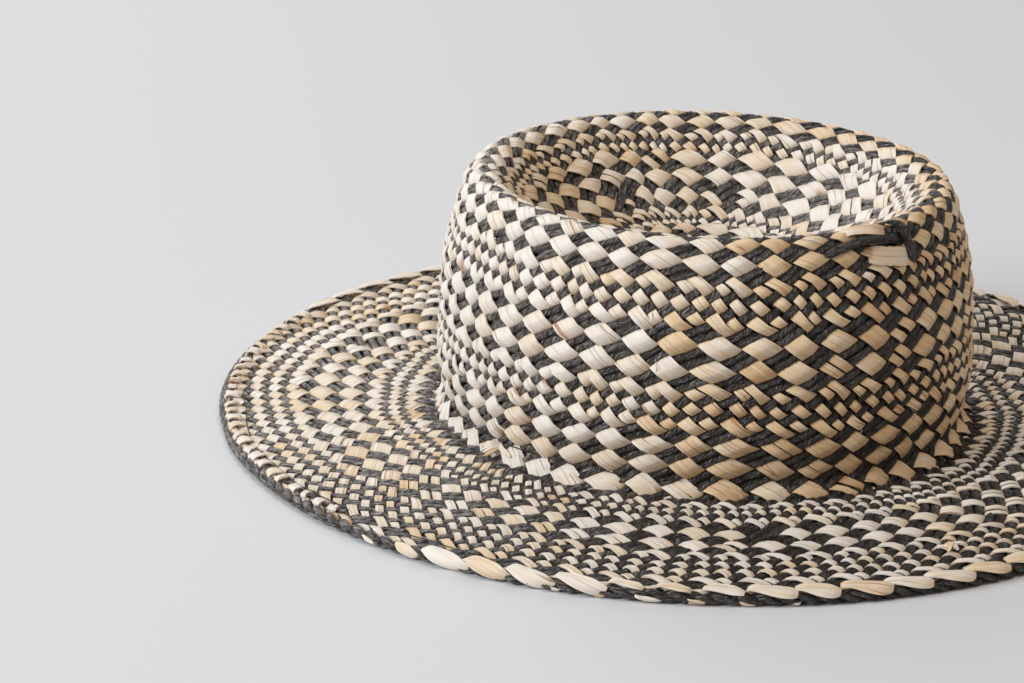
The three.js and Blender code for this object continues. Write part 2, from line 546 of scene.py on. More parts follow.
# %% [markdown]
# Flat natural strips
#
# A strip is a slice of a leaf: about four millimetres wide, half a millimetre thick, with crisp sides. The
# two strips of a pair lie so close that most pairs look like one broad band. So at most places where a
# pair lies on top, the first strip is made as broad as both and the second goes under it. At the others a
# dark slit is left between the two. Each ring of a strip is slanted, along the cords that it crosses.

# %% Places where a pair lies on top
JOINED_SHARE = {"crown": [(-215, 0.8), (-105, 0.92), (-65, 0.66), (20, 0.7), (145, 0.8)],
                "brim": [(-215, 0.85), (-110, 0.8), (-60, 0.75), (145, 0.85)]}


def pair_blocks(zone, pair):
    """The numbers of the cord pairs that a pair of strips meets, and whether it lies on top of each."""
    first, last = zone["first"], zone["last"]
    numbers = np.arange((2 * pair + first) // 2, (2 * pair + 1 + last) // 2 + 1)
    on_top = np.ones(len(numbers), bool)
    for strip in (2 * pair, 2 * pair + 1):
        for cord in (2 * numbers, 2 * numbers + 1):
            place = cord - strip - first
            inside = (place >= 0) & (place <= last - first)
            on_top &= inside & zone["on_top"][strip, np.clip(place, 0, last - first)]
    return numbers, on_top


def joined_share(zone_name, theta):
    return round_table(JOINED_SHARE.get(zone_name, JOINED_SHARE["crown"]), theta)


# %% Make the strips
STRIP_THICKNESS = 0.5
WIDEST_STRIP = 4.9
FULL_ROOM = 3.66
PAIR_STEP = 0.05
PAIR_PULL = 0.10
UNDER_DROP = 0.42
UNDER_WIDTH = 0.75
TONE_SPREAD = 0.09
# How unevenly the blocks of a strip lie: sideways, up, tilted, in width, and how a pair parts.
STRIP_WANDER = 0.16
STRIP_UNEVEN = 0.09
STRIP_TILT = 0.035
STRIP_WIDTH_STRAY = 0.035
PARTING = (0.05, 0.25)
PARTING_LEAST = -0.05
# The fold along a strip: how far from the middle, how much it strays, and how high it stands.
FOLD_PLACE = 0.5
FOLD_STRAY = 0.06
FOLD_HEIGHT = (0.05, 0.2)
JOINED_FOLD_HEIGHT = (0.2, 0.45)
# Each strip and cord starts at its own place on the map, at most this far from the others.
MAP_SPREAD = 900
# A strip is painted this much darker and browner where it dives under, as painted shade, and a little lighter
# where it lies on top.
DIVE_PAINTED_SHADE = 0.16
# How much paler the leaves are in each zone, and how much of the painted light and shade round the hat
# they show. On the brim that painted change is small, and the other way round.
LEAF_PALENESS_AND_PAINTED_LIGHT = {"crown": (0.0, 1.0), "brim": (0.03, -0.10), "tip": (0.0, 1.0)}
# Painted light and shade on the strips, by angle, on the outside of the hat and inside the rim: paler
# where the strips face the light, and darker and browner where they fall in shade.
OUTER_STRIP_PAINTED_LIGHT = [(-215, 0.05), (-150, 0.18), (-120, 0.15), (-90, -0.05), (-65, -0.32), (-40, -0.40),
                (0, -0.33), (60, -0.28), (90, -0.16), (145, 0.05)]
INNER_STRIP_PAINTED_LIGHT = [(-215, -0.20), (-150, -0.16), (-90, 0.0), (-20, 0.08), (30, 0.08), (90, -0.02), (145, -0.17)]
# Painted light and shade on the cords, in the same way: a painted sheen where the window lights them,
# lightest inside the rim on the right, and painted shade on the shaded side.
OUTER_CORD_PAINTED_LIGHT = [(-215, 0.58), (-150, 0.60), (-120, 0.38), (-100, 0.14), (-85, -0.08), (-60, -0.36), (0, -0.44),
             (60, -0.25), (100, -0.05), (145, 0.58)]
INNER_CORD_PAINTED_LIGHT = [(-215, -0.04), (-90, 0.02), (-30, 0.95), (30, 0.95), (90, 0.14), (145, -0.04)]
# How high the strips rise at some places along the line, as a share of STRIP_RISE: they are calmer over
# the rim, at the foot and on the brim.
CALMER = [(-14, 1.0), (-5, 0.85), (6, 0.85), (14, 1.0), (80, 1.0), (90, 0.85), (96, 0.7), (101, 0.6),
          (107, 0.8), (182, 0.8)]


def painted_side_light(outer, inner, theta, arc):
    """Painted light and shade: the straw is lighter on the side of the hat that faces the light and darker on
    the shaded side, outside and inside the rim.
    """
    inside = how_inside(arc)
    return round_table(outer, theta) * (1 - inside) + round_table(inner, theta) * inside


def strip_section(half_width, fold_place, fold_height, roll):
    """Six points round a strip, counter-clockwise: right side, top, left side, underside."""
    half = STRIP_THICKNESS / 2
    x = np.stack([half_width, half_width, fold_place * half_width, -half_width, -half_width,
                  fold_place * half_width], axis=-1)
    flat = np.zeros_like(half_width)
    y = np.stack([flat - half, flat + half, fold_height + half, flat + half, flat - half,
                  fold_height - half], axis=-1)
    y = y + roll[:, None] * x
    return np.stack([x, y], axis=-1)


def strip_map(half_width, fold_place):
    """How far round the strip each corner of its section lies, and once more its first corner."""
    side, breadth = STRIP_THICKNESS, 2 * half_width
    return np.stack([0 * breadth, 0 * breadth + side, side + breadth * (1 - fold_place) / 2, side + breadth,
                     2 * side + breadth, 2 * side + breadth * (3 + fold_place) / 2,
                     2 * side + 2 * breadth], axis=-1) - half_width[:, None]


def sinking(zone, rows):
    """How much lower a path lies at the crown's foot, where the crown's ends go under the brim."""
    return np.interp(row_arc(zone, rows), *np.array(zone.get("sinks", [(0, 0), (1, 0)]), float).T)


def rings_on_net(zone, number, rows, lift, sideways, room, section, up_way):
    """Rings of a strip that follow the hat's curve. Each corner is moved along the crossing cords."""
    shift = (sideways[:, None] + section[..., 0]) / room[:, None]
    rows = rows[:, None] - shift
    theta, arc = swayed((number + shift + rows / 2) * step_round(zone), row_arc(zone, rows))
    points = surface(theta, arc) + outward(theta, arc) * (lift[:, None] - WALL_THICKNESS / 2)[..., None]
    return points + section[..., 1:] * up_way[:, None]


def natural_strip(zone_name, number):
    zone = ZONES[zone_name]
    on_top = zone["on_top"][number]
    reach = BRIM_REACH if zone_name == "brim" else STRIP_REACH
    rows, lifts, crossings = with_tucked_ends(STRIP_TUCK, *path_rows(on_top, zone["first"], reach, True))
    theta = (number + rows / 2) * step_round(zone)
    pair, second = number // 2, number % 2
    both = np.random.default_rng([zone["columns"], pair])
    blocks, covered = pair_blocks(zone, pair)
    share = joined_share(zone_name, (pair * 2 + blocks) * step_round(zone) / 2)
    joined = covered & (both.random(len(blocks)) < share)
    block = (number + zone["first"] + crossings) // 2 - blocks[0]
    wander = both.normal(0, STRIP_WANDER, len(blocks))[block]
    height = both.normal(0, STRIP_UNEVEN, len(blocks))[block]
    lean = both.normal(0, STRIP_TILT, len(blocks))[block]
    parting = np.maximum(both.normal(*PARTING, len(blocks)), PARTING_LEAST)[block]
    width = both.normal(1.0, STRIP_WIDTH_STRAY, len(blocks))[block]
    tone = both.normal(0, TONE_SPREAD * 0.5) + both.normal(0, TONE_SPREAD, len(blocks))[block]
    joined = joined[block]
    towards = -1 if second else 1

    room, slant = room_and_slant(zone, 1, rows)
    calm = np.interp(row_arc(zone, rows), *np.array(CALMER).T)
    lift = np.where(lifts > 0, STRIP_RISE * calm, STRIP_DIVE) * lifts * np.clip(room / FULL_ROOM, 0.6, 1.1)
    lift = lift + height + np.where(joined, -UNDER_DROP * second, towards * PAIR_STEP)
    lift = lift - sinking(zone, rows)
    apart = np.where(joined, (1 - second) * room / 2, towards * (PAIR_PULL - parting))
    points, _, up_way = lay_path(zone, number, 1, rows, lift, wander + apart)
    share = width_shares(zone_name, theta, row_arc(zone, rows))[0]
    alone = (on_top != np.roll(on_top, 1)) & (on_top != np.roll(on_top, -1))
    share = share * np.where(alone[crossings], CHECK_WIDTH, 1.0)
    half_width = np.minimum(room * share, WIDEST_STRIP) * width / 2
    half_width = half_width * np.where(joined, UNDER_WIDTH, 1.0) if second else \
        half_width + np.where(joined, room / 2, 0)
    fold_ends = rng.uniform(-FOLD_PLACE, FOLD_PLACE, 2)
    fold_place = np.interp(rows, [rows[0], rows[-1]], fold_ends) + rng.normal(0, FOLD_STRAY, len(rows))
    fold_height = rng.uniform(*FOLD_HEIGHT)
    joined_height = rng.uniform(*JOINED_FOLD_HEIGHT, len(on_top))[crossings]
    fold_height = fold_height + np.where(joined, joined_height, 0.0)
    section = strip_section(half_width, fold_place, fold_height, lean)
    rings = rings_on_net(zone, number, rows, lift, wander + apart, room, section, up_way)
    around = strip_map(half_width, fold_place) + rng.uniform(0, MAP_SPREAD)
    shift = slant[:, None] * section[..., 0]
    along_map = length_along(points)[:, None] + np.c_[shift, shift[:, 0]] + rng.uniform(0, MAP_SPREAD)
    # Painted shade where the strip dives under the cords.
    tone = tone + rng.normal(0, TONE_SPREAD * 0.3) + DIVE_PAINTED_SHADE * (np.clip(lifts, 0, 1) - 0.7)
    paler, painted_light_share = LEAF_PALENESS_AND_PAINTED_LIGHT.get(zone_name, LEAF_PALENESS_AND_PAINTED_LIGHT["tip"])
    # Painted light and shade round the hat: lighter where the strip faces the light, darker where it is in
    # shade.
    tone = tone + paler + painted_light_share * painted_side_light(OUTER_STRIP_PAINTED_LIGHT, INNER_STRIP_PAINTED_LIGHT, theta, row_arc(zone, rows))
    return ring_run(rings, around, along_map, tone)


STRIP_CREASE = 62
strips = {}
for zone_name in ZONES:
    runs = [natural_strip(zone_name, number) for number in range(ZONES[zone_name]["columns"])]
    strips[zone_name] = joined_mesh(zone_name + "_natural_strips", runs, STRIP_CREASE)

# %% [markdown]
# Twisted dark cords
#
# Each dark cord is two thin bunches of dyed straw, twisted together. Its section is therefore not round
# but has two lobes, and the lobes turn as the cord runs, which leaves a slanting groove every few
# millimetres. Two cords lie side by side, and where they cross over a pair of strips they are squeezed
# together. The map of a cord turns with its lobes, so the fibres of the material follow the twist.

# %% Make the cords
WIDEST_CORD = 3.6
CORD_HEIGHT = 2.4
CORD_SQUEEZE = 0.24
CORD_SIDES = 8
TWIST_LENGTH = 13.0
TWIST_STRAY = 0.55
LOBE = 0.11
# How unevenly a cord lies sideways and up, and how much its width and height change.
CORD_WANDER = 0.10
CORD_UNEVEN = 0.09
CORD_SIZE_STRAY = 0.05
# A cord is at most this high, as a share of the room beside it.
CORD_HEIGHT_SHARE = 0.68
# A path this low, as a share of its dive, is tucked under its neighbours.
TUCKED = 1.05


def cord_section(half_width, half_height, turn, lobe):
    """Points round a cord with two lobes, which lie at the given turn."""
    angle = np.arange(CORD_SIDES) * 2 * math.pi / CORD_SIDES
    bulge = 1 + lobe[:, None] * np.cos(2 * (angle - turn[:, None]))
    across = half_width[:, None] * bulge * np.cos(angle)
    return np.stack([across, half_height[:, None] * bulge * np.sin(angle)], axis=-1)


def cord_map(turn):
    """How far round the cord each corner lies, from its lobe, in millimetres of its girth."""
    GIRTH = 9.0
    angle = np.arange(CORD_SIDES + 1) / CORD_SIDES
    return (angle - turn[:, None] / (2 * math.pi)) * GIRTH


def dark_cord(zone_name, number):
    zone = ZONES[zone_name]
    columns = zone["columns"]
    count = zone["last"] - zone["first"] + 1
    crossed = (number - np.arange(zone["first"], zone["last"] + 1)) % columns
    on_top = ~zone["on_top"][crossed, np.arange(count)]
    rows, lifts, crossings = with_tucked_ends(CORD_TUCK, *path_rows(on_top, zone["first"], CORD_REACH, False))
    partner = 1 if number % 2 == 0 else -1
    wander = rng.normal(0, CORD_WANDER, count)[crossings]
    height = rng.normal(0, CORD_UNEVEN, count)[crossings]
    sideways = wander + partner * np.where(lifts > 0, CORD_SQUEEZE, 0.0)
    lift = np.where(np.abs(lifts) > TUCKED, lifts * STRIP_DIVE, lifts * CORD_LIFT + height)
    lift = lift - sinking(zone, rows)
    room = room_and_slant(zone, -1, rows)[0]
    points, across, up_way = lay_path(zone, number, -1, rows, lift, sideways)
    share = width_shares(zone_name, (number - rows / 2) * step_round(zone), row_arc(zone, rows))[1]
    half_width = np.minimum(room * share, WIDEST_CORD) / 2
    half_width = half_width * rng.normal(1, CORD_SIZE_STRAY, len(rows))
    half_height = np.minimum(CORD_HEIGHT, room * CORD_HEIGHT_SHARE) / 2
    half_height = half_height * rng.normal(1, CORD_SIZE_STRAY, len(rows))
    along = length_along(points)
    stray = np.cumsum(rng.normal(0, TWIST_STRAY, len(rows)))
    turn = rng.uniform(0, 2 * math.pi) - 2 * math.pi * along / TWIST_LENGTH + stray
    lobe = LOBE * rng.normal(1, 0.5, len(rows))
    rings = ring_points(points, across, up_way, cord_section(half_width, half_height, turn, lobe))
    theta = (number - rows / 2) * step_round(zone)
    tone = rng.normal(0, TONE_SPREAD) + rng.normal(0, TONE_SPREAD * 0.5, count)[crossings]
    # Painted sheen where the cord faces the window, painted shade where it lies in shade.
    tone = tone + painted_side_light(OUTER_CORD_PAINTED_LIGHT, INNER_CORD_PAINTED_LIGHT, theta, row_arc(zone, rows))
    return ring_run(rings, cord_map(turn), (along + rng.uniform(0, MAP_SPREAD))[:, None], tone)


CORD_CREASE = 180
cords = {}
for zone_name in ZONES:
    runs = [dark_cord(zone_name, number) for number in range(ZONES[zone_name]["columns"])]
    cords[zone_name] = joined_mesh(zone_name + "_dark_cords", runs, CORD_CREASE)

# %% [markdown]
# The dark cord round the edge
#
# The brim ends in a plait. Its outer part is a thick dark cord, which runs right round and touches the
# table. It is two bunches twisted together, each as thick as a weaving cord, so it is made as two runs
# that wind round one middle line. The twist has a whole number of turns, so that it closes on itself.

# %% Make the edge cord
EDGE_CORD_RADIUS = 1.25
EDGE_CORD_WIND = 1.05
EDGE_CORD_TURNS = 84
EDGE_CORD_STEPS = 840
EDGE_LOBE = 0.06
EDGE_MAP_TURNS = 80
EDGE_TONE = 0.1
# The cord's size changes by this share, and by this much more on its rough side, at this angle.
EDGE_WOBBLE, ROUGH_WOBBLE = 0.04, 0.16
ROUGH_SIDE = -160
edge_middle = edge_radius - EDGE_CORD_RADIUS - EDGE_CORD_WIND
edge_cord_height = edge_low.z + EDGE_CORD_RADIUS + EDGE_CORD_WIND


def oval(theta, radius, height):
    """A point on the oval that has the given mean radius and height."""
    return np.stack([(radius + oval_stretch) * np.cos(theta), (radius - oval_stretch) * np.sin(theta),
                     height + 0 * theta], axis=-1)


def edge_bunch(start_turn):
    theta = np.arange(EDGE_CORD_STEPS) * 2 * math.pi / EDGE_CORD_STEPS
    turn = start_turn - EDGE_CORD_TURNS * theta + 0.35 * np.sin(9 * theta) + 0.2 * np.sin(23 * theta + 1)
    crumple = 0.5 + 0.5 * np.cos(theta - math.radians(ROUGH_SIDE))
    slow = np.sin(91 * theta + 2 * np.sin(7 * theta) + start_turn)
    wobble = 1 + (EDGE_WOBBLE + ROUGH_WOBBLE * crumple) * slow + EDGE_WOBBLE * np.sin(157 * theta)
    points = oval(theta, edge_middle + EDGE_CORD_WIND * np.cos(turn),
                  edge_cord_height + EDGE_CORD_WIND * np.sin(turn))
    outwards = unit(oval(theta, edge_middle + 1, 0) - oval(theta, edge_middle, 0))
    along = unit(np.roll(points, -1, axis=0) - np.roll(points, 1, axis=0))
    across = unit(outwards - along * np.sum(outwards * along, axis=1, keepdims=True))
    upright = np.cross(along, across)
    size = EDGE_CORD_RADIUS * wobble
    lobes = np.full(EDGE_CORD_STEPS, EDGE_LOBE)
    rings = ring_points(points, across, upright, cord_section(size, size, turn * 2, lobes))
    length = theta * edge_middle
    around = cord_map(-EDGE_MAP_TURNS * theta)
    around = np.concatenate([around, around[:1]])
    # The edge cord carries the same painted sheen and painted shade round the hat.
    tone = rng.normal(0, EDGE_TONE, EDGE_CORD_STEPS) + round_table(OUTER_CORD_PAINTED_LIGHT, theta)
    return ring_run(rings, around, np.r_[length, 2 * math.pi * edge_middle][:, None], tone, closed=True)


edge_cord = joined_mesh("edge_dark_cord", [edge_bunch(turn) for turn in (0.0, math.pi)], 180)

# %% [markdown]
# Natural wraps on the edge
#
# Above the edge cord lies a row of natural wraps, one for each pair of strips, and on the left of the
# picture a smaller one between each two. A wrap is shaped like a
# slim leaf: wide in the middle, pinched where it meets the next, and curled over the edge. One wrap is
# modelled flat, from a grid whose columns are scaled to the outline of a leaf, and then every copy is
# bent over the edge at its own place, slant and size.

# %% Model one wrap
WRAP_COLUMNS = 12
WRAP_ROWS = 5
TIP_SHARE = 0.16
STRAW_WALL = 0.5


def leaf_outline(share):
    """Half the width of the wrap, as a share of the widest, at a share of its length."""
    return TIP_SHARE + (1 - TIP_SHARE) * math.sin(math.pi * share) ** 0.75


bpy.ops.object.select_all(action="DESELECT")
bpy.ops.mesh.primitive_grid_add(x_subdivisions=WRAP_COLUMNS, y_subdivisions=WRAP_ROWS, size=1)
wrap_model = bpy.context.object
wrap_model.name = "wrap_model"
for column in range(WRAP_COLUMNS + 1):
    place = column / WRAP_COLUMNS - 0.5
    bpy.ops.object.mode_set(mode="EDIT")
    bpy.ops.mesh.select_all(action="DESELECT")
    bpy.ops.object.mode_set(mode="OBJECT")
    for vertex in wrap_model.data.vertices:
        vertex.select = abs(vertex.co.x - place) < 1e-4
    bpy.ops.object.mode_set(mode="EDIT")
    bpy.ops.transform.resize(value=(1, 2 * leaf_outline(column / WRAP_COLUMNS), 1),
                             center_override=(place, 0, 0))
bpy.ops.object.mode_set(mode="OBJECT")
solidify = wrap_model.modifiers.new("straw_wall", "SOLIDIFY")
solidify.thickness = STRAW_WALL
solidify.offset = 0
bpy.ops.object.modifier_apply(modifier="straw_wall")
wrap_points = np.array([vertex.co for vertex in wrap_model.data.vertices])
wrap_faces = np.array([face.vertices[:] for face in wrap_model.data.polygons])
wrap_outline = np.array([leaf_outline(min(max(x + 0.5, 0), 1)) for x in wrap_points[:, 0]])
bpy.data.objects.remove(wrap_model)
print("one wrap:", len(wrap_faces), "faces")

# %% Bend the wraps over the edge
# Round the hat, by angle: how far inside the edge the wraps turn down, and how blunt their ends are. Then
# for the larger wraps their slant, length, half width, and how far outwards and down from the top of the
# edge the middle lies, and the same four for the smaller wraps. Lengths are in millimetres.
WRAP_STYLES = [
    (-215, 0.0, 0.5, 16, 16.5, 3.0, -0.4, 10, 2.0, 1.0, 5.0),
    (-199, 0.0, 0.5, 16, 16.5, 3.0, -0.4, 10, 2.0, 1.0, 5.0),
    (-198, 1.4, 0.9, 84, 7.0, 2.2, -0.4, 82, 6.0, 1.7, -0.6),
    (-155, 1.9, 0.9, 84, 7.0, 2.4, -0.2, 82, 6.0, 1.6, -0.4),
    (-137, 2.3, 0.9, 84, 6.5, 2.5, -0.2, 82, 5.5, 1.5, -0.4),
    (-127.6, 2.6, 0.9, 84, 6.0, 2.4, -0.2, 82, 5.0, 1.4, -0.6),
    (-127.5, 0.6, 0.2, 10, 5.0, 0.6, 4.6, 10, 2.0, 1.0, -4.0),
    (-116, 0.0, 0.2, 11, 11.0, 1.6, 3.6, 10, 2.0, 1.0, -4.0),
    (-110, 0.0, 0.7, 18, 18.0, 3.2, 2.0, 10, 2.0, 1.0, 5.6),
    (-95, 0.0, 0.7, 18, 18.0, 3.2, 1.2, 10, 5.0, 0.9, 5.8),
    (-90, 0.0, 0.5, 13, 12.5, 2.0, -0.8, 10, 8.5, 1.2, 5.4),
    (-78, 0.0, 0.5, 13, 14.0, 2.4, -0.8, 10, 6.0, 0.9, 5.6),
    (-72, 0.0, 0.5, 16, 17.0, 3.1, -0.4, 10, 2.0, 0.8, 5.6),
    (-20, 0.0, 0.5, 16, 17.0, 3.1, -0.4, 10, 2.0, 0.8, 5.6),
    (20, 0.8, 0.5, 16, 17.0, 3.2, -0.4, 10, 2.0, 0.9, 5.4),
    (145, 0.0, 0.5, 16, 16.5, 3.0, -0.4, 10, 2.0, 1.0, 5.0),
]
SHORTEST_WRAP = 3.0
WRAPS = ZONES["brim"]["columns"] // 2
# How much paler the wraps are, and how much of the strips' painted light and shade round the hat they show.
WRAP_PALER, WRAP_PAINTED_LIGHT = 0.06, 0.25
# A blunt wrap's width, as a share of the widest, and in millimetres its ridge, how high its middle lies,
# how far its ends dip, and its lowest point.
BLUNT_WIDTH = 0.92
WRAP_RIDGE, WRAP_LIFT, WRAP_END_DIP, WRAP_LOWEST = 0.20, 0.45, 0.95, 0.1
ROLL_RADIUS = 2.2
ROLL_MIDDLE = edge_radius - 2.5
ROLL_HEIGHT = 3.1


def bent_wrap(theta, inset, blunt, slant, length, half_width, place):
    """The points of one wrap over the edge, its map and its tone."""
    bend = wrap_points[:, 0] * 2
    half_width = half_width * (1 + blunt * (BLUNT_WIDTH / wrap_outline - 1))
    ridge = WRAP_RIDGE * np.cos(wrap_points[:, 1] * rng.uniform(4.0, 8.0) + rng.uniform(0, 6))
    along = wrap_points[:, 0] * length
    across = wrap_points[:, 1] * half_width
    lift = wrap_points[:, 2] + WRAP_LIFT - WRAP_END_DIP * bend ** 4 + ridge
    slant = math.radians(slant)
    forwards = along * math.cos(slant) - across * math.sin(slant)
    outwards = place + along * math.sin(slant) + across * math.cos(slant)
    roll = math.pi / 2 - np.maximum(outwards, 0) / ROLL_RADIUS
    radius = ROLL_MIDDLE - inset + np.minimum(outwards, 0) + (ROLL_RADIUS + lift) * np.cos(roll)
    height = ROLL_HEIGHT + (ROLL_RADIUS + lift) * np.sin(roll)
    points = oval(theta + forwards / ROLL_MIDDLE, radius, np.maximum(height, WRAP_LOWEST))
    flat_map = np.stack([across, along], axis=-1) + rng.uniform(0, MAP_SPREAD, 2)
    # The wraps carry the same painted light and shade round the hat as the strips.
    tone = rng.normal(0.0, TONE_SPREAD) + WRAP_PALER + WRAP_PAINTED_LIGHT * round_table(OUTER_STRIP_PAINTED_LIGHT, theta)
    return points, flat_map, tone


# Between these two angles the edge is rough, and the wraps differ more from each other.
ROUGH_EDGE = (-198, -127)
WRAP_STRAY, ROUGH_WRAP_STRAY = 0.08, 0.17
bent = []
for number in range(WRAPS):
    theta = (number + 0.5) * 2 * math.pi / WRAPS
    degrees = (math.degrees(theta) + 215) % 360 - 215
    style = [round_table(WRAP_STYLES, theta, column) for column in range(1, 11)]
    rough = ROUGH_EDGE[0] < degrees < ROUGH_EDGE[1]
    stray = rng.normal(1, ROUGH_WRAP_STRAY if rough else WRAP_STRAY, 8)
    nudge = rng.normal(0, 0.6, 2) / ROLL_MIDDLE
    bent.append(bent_wrap(theta + nudge[0], *style[:2], *(np.array(style[2:6]) * stray[:4])))
    if style[7] > SHORTEST_WRAP:
        smaller = np.array(style[6:]) * stray[4:]
        bent.append(bent_wrap(theta + nudge[1] + math.pi / WRAPS, *style[:2], *smaller))


def joined_copies(name, copies, faces):
    """One mesh from bent copies that all have the same faces."""
    points, flat_maps, tones = zip(*copies)
    count = len(points[0])
    all_faces = np.concatenate([faces + count * number for number in range(len(copies))])
    flat_map = np.concatenate(flat_maps)[all_faces.ravel()]
    piece = woven_piece(name, np.concatenate(points), all_faces, flat_map, np.repeat(tones, count))
    bpy.ops.object.mode_set(mode="EDIT")
    bpy.ops.mesh.select_all(action="SELECT")
    bpy.ops.mesh.normals_make_consistent(inside=False)
    bpy.ops.object.mode_set(mode="OBJECT")
    return smooth_shaded(piece, STRIP_CREASE)


edge_wraps = joined_copies("edge_natural_wraps", bent, wrap_faces)

# %% [markdown]
# Threads and loose ends
#
# A thin dark thread is sewn round the foot of the crown, and another runs near the edge on the left. On the
# right of the rim two thick dark ends are spliced in beside two broad strips. On the left a few thin ends
# stick out at the crown's foot, some hairs stand off, and a small star closes the middle of the tip.
# Each is a run of rings along a smooth line through a few named points. A point is an angle round the hat
# in degrees, a place along the line, and a height above the middle of the weave in millimetres.

# %% Runs along a smooth line
STEPS_BETWEEN = 5


def laid_line(knots):
    """Points along a smooth line through the knots, and the direction out of the hat at each."""
    knots = np.array(knots, float)
    numbers = np.arange(len(knots), dtype=float)
    at = np.linspace(0, numbers[-1], STEPS_BETWEEN * (len(knots) - 1) + 1)
    degrees, arc, lift = (smooth(numbers, knots[:, column], at) for column in range(3))
    normal = outward(np.radians(degrees), arc)
    return surface(np.radians(degrees), arc) + normal * (lift - WALL_THICKNESS / 2)[:, None], normal


def run_along(points, normal, half_size, tone, flat):
    """A strip if flat, or else a cord, along the points. half_size is half its width at each point."""
    along = unit(np.gradient(points, axis=0))
    across = unit(np.cross(normal, along))
    none = np.zeros(len(points))
    if flat:
        fold = none + rng.uniform(-0.5, 0.5)
        section, around = strip_section(half_size, fold, none + 0.05, none), strip_map(half_size, fold)
    else:
        section, around = cord_section(half_size, half_size, none, none + 0.04), cord_map(none)
    rings = ring_points(points, across, np.cross(along, across), section)
    length = (length_along(points) + rng.uniform(0, MAP_SPREAD))[:, None]
    return ring_run(rings, around + rng.uniform(0, MAP_SPREAD), length, none + tone)


def laid_run(knots, half_size, tone=0.0, flat=False, thin_ends=(1.0, 0.4), lumps=0.0):
    """A run through the knots, with both ends as thin as given, as shares of its middle."""
    points, normal = laid_line(knots)
    share = np.linspace(0, 1, len(points))
    size = half_size * np.interp(share, [0, 0.25, 0.75, 1], [thin_ends[0], 1, 1, thin_ends[1]])
    return run_along(points, normal, size * (1 + lumps * rng.normal(0, 1, len(points))), tone, flat)


# %% The dark thread and the splice
THREAD = 0.22
# The foot thread dips under the weave at every fourth point, and the brim's thread at every fifth.
FOOT_LINE = 91.6
THREAD_HIGH, THREAD_LOW = 2.2, -0.3


def foot_point(number, degrees):
    arc = FOOT_LINE + rng.normal(0, 0.5)
    return degrees, arc, THREAD_LOW if number % 4 == 3 else THREAD_HIGH + rng.normal(0, 0.2)


foot_thread = [foot_point(number, degrees) for number, degrees in enumerate(np.arange(-152, -84, 3.0))]
BRIM_THREAD = [(-172, 169), (-168, 171.5), (-163, 170), (-157, 171.5), (-152, 172), (-147, 172.7),
               (-143, 172), (-137, 172.6), (-130, 171), (-122, 170), (-114, 171.5), (-108, 172.5),
               (-101, 174.5)]
brim_thread = [(degrees, arc, 0.2 if number % 5 == 4 else 2.0)
               for number, (degrees, arc) in enumerate(BRIM_THREAD)]
SPLICE = [(-57, 9.5, -0.5), (-54, 8.0, 1.6), (-50, 6.8, 2.6), (-46, 6.0, 2.9), (-41, 6.6, 2.8),
          (-36.5, 7.4, 2.3), (-34, 8, 0.6)]
UPRIGHT = [(-31.4, 18, 0.0), (-31.8, 13.5, 2.0), (-32.5, 9, 2.7), (-33.4, 4, 2.8), (-35, -1, 0.4)]
dark_runs = [laid_run(foot_thread, THREAD), laid_run(brim_thread, THREAD)]
dark_runs += [laid_run(knots, 1.6, -0.3, lumps=0.10) for knots in (SPLICE, UPRIGHT)]
loose_dark = joined_mesh("threads_and_splice", dark_runs, CORD_CREASE)

# %% Loose natural ends
# The broad strips beside the splice: half their width, their tone and their points.
BANDS = [
    (3.4, -0.14, [(-45, 10.6, -0.4), (-43.2, 11.4, 2.2), (-40, 12.6, 2.8), (-36, 13.8, 2.3), (-32.6, 15, 1.2),
                  (-30.6, 15.6, 0.0)]),
    (2.3, -0.10, [(-50.5, 1.2, 0.2), (-47, 1.8, 2.3), (-42, 3.0, 2.7), (-37.5, 5.4, 0.4)]),
]
TUFT_PLACE, TUFT_ENDS = (-131, 93.5, 1.2), 8
KNOT_PLACE, KNOT_ENDS = (-50, 157.5, 1.0), 6
HAIRS = [
    [(-70.5, 10, 1.4), (-69.5, 12.6, 2.8), (-68, 14.2, 3.0), (-66.6, 13, 2.6), (-66, 11, 1.4)],
    [(-94, 29, 1.6), (-93.7, 33, 3.0), (-94.4, 37.5, 1.8)],
    [(-92.8, 45.5, 1.6), (-92.3, 48, 2.8), (-92.6, 51, 1.8)],
    [(-49.2, 71.5, 1.6), (-48.7, 74, 3.0), (-49.6, 76, 2.6)],
    [(-34.6, 71, 1.6), (-33.8, 73, 3.2), (-34.2, 75, 2.4)],
    [(-62, -3, 1.6), (-60.5, -5, 4.0), (-58, -5.5, 5.2)],
    [(-132.4, 94.5, 1.4), (-132, 91, 4.2), (-130.2, 89.6, 4.8), (-129.2, 92.4, 3.4), (-129.6, 95.5, 1.6)],
    [(-120, 158, 1.6), (-119, 155.5, 3.0), (-117.5, 154.6, 2.4)],
]
HAIR = 0.13
STAR_STRIPS, STAR_REACH, STAR_HALF_WIDTH = 4, 8.5, 1.8
# How high the star's first strip lies, how much higher each next one, and how far their ends dip.
STAR_LIFT, STAR_STEP, STAR_DIP = 0.3, 0.35, 1.4


def frayed(place, ends, spread, reach):
    """Short thin ends that fan out from one place."""
    runs = []
    for number in range(ends):
        turn = rng.uniform(*spread)
        length = rng.uniform(*reach)
        sideways = np.degrees(length * math.cos(turn) / radius_at(place[1]))
        outwards = length * math.sin(turn)
        knots = [place, (place[0] + sideways * 0.45, place[1] + outwards * 0.5, 3.2 + rng.uniform(-0.3, 0.8)),
                 (place[0] + sideways, place[1] + outwards, 2.3 + rng.uniform(-0.4, 0.8))]
        half_width, tone = rng.uniform(0.55, 1.0), rng.uniform(-0.3, 0.1)
        runs.append(laid_run(knots, half_width, tone, flat=True, thin_ends=(1.0, 0.3)))
    return runs


